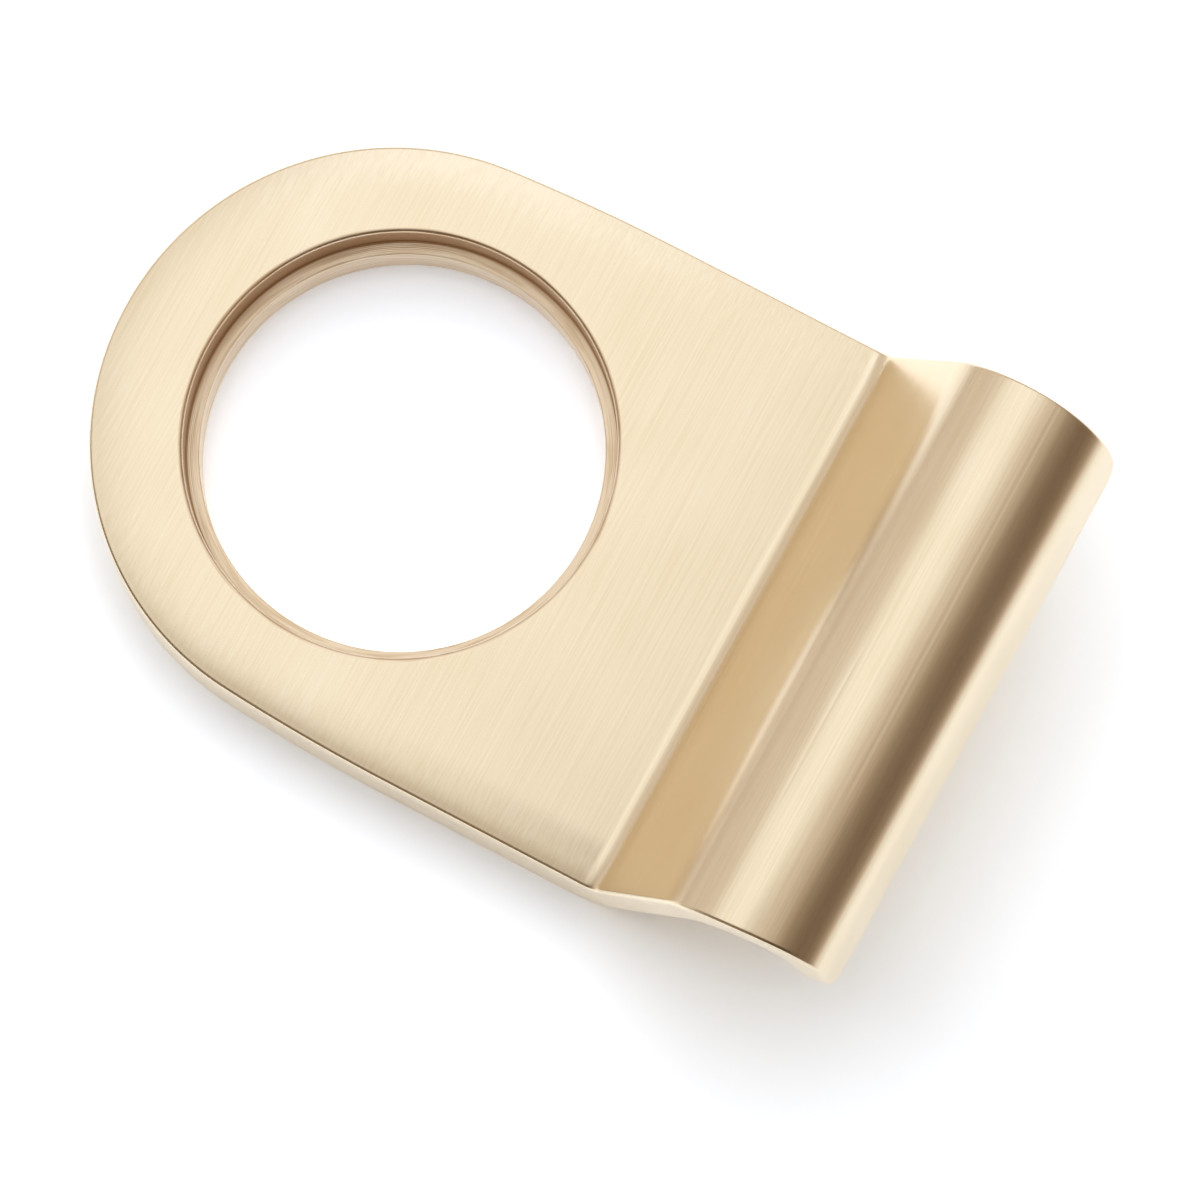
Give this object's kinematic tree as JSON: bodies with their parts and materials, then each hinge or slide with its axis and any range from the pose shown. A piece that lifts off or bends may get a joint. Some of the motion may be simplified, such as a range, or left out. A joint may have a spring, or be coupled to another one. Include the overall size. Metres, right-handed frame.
{
  "type": "cylinder pull handle",
  "caption": "Brass cylinder pull: a round-headed plate with a stepped bore for a rim lock cylinder, its straight end turned up into a hooked finger grip.",
  "frame": {"origin": "centre of the cylinder bore on the plate's flat back face", "axes": "+Z out of the door along the bore, +Y from the bore towards the tip of the hook, +X across the plate"},
  "size_m": [0.05, 0.0782, 0.0238],
  "materials": {
    "satin_brass": "satin brushed, clear lacquered"
  },
  "bodies": {
    "root": {"pull_handle": "satin_brass"}
  },
  "joints": []
}
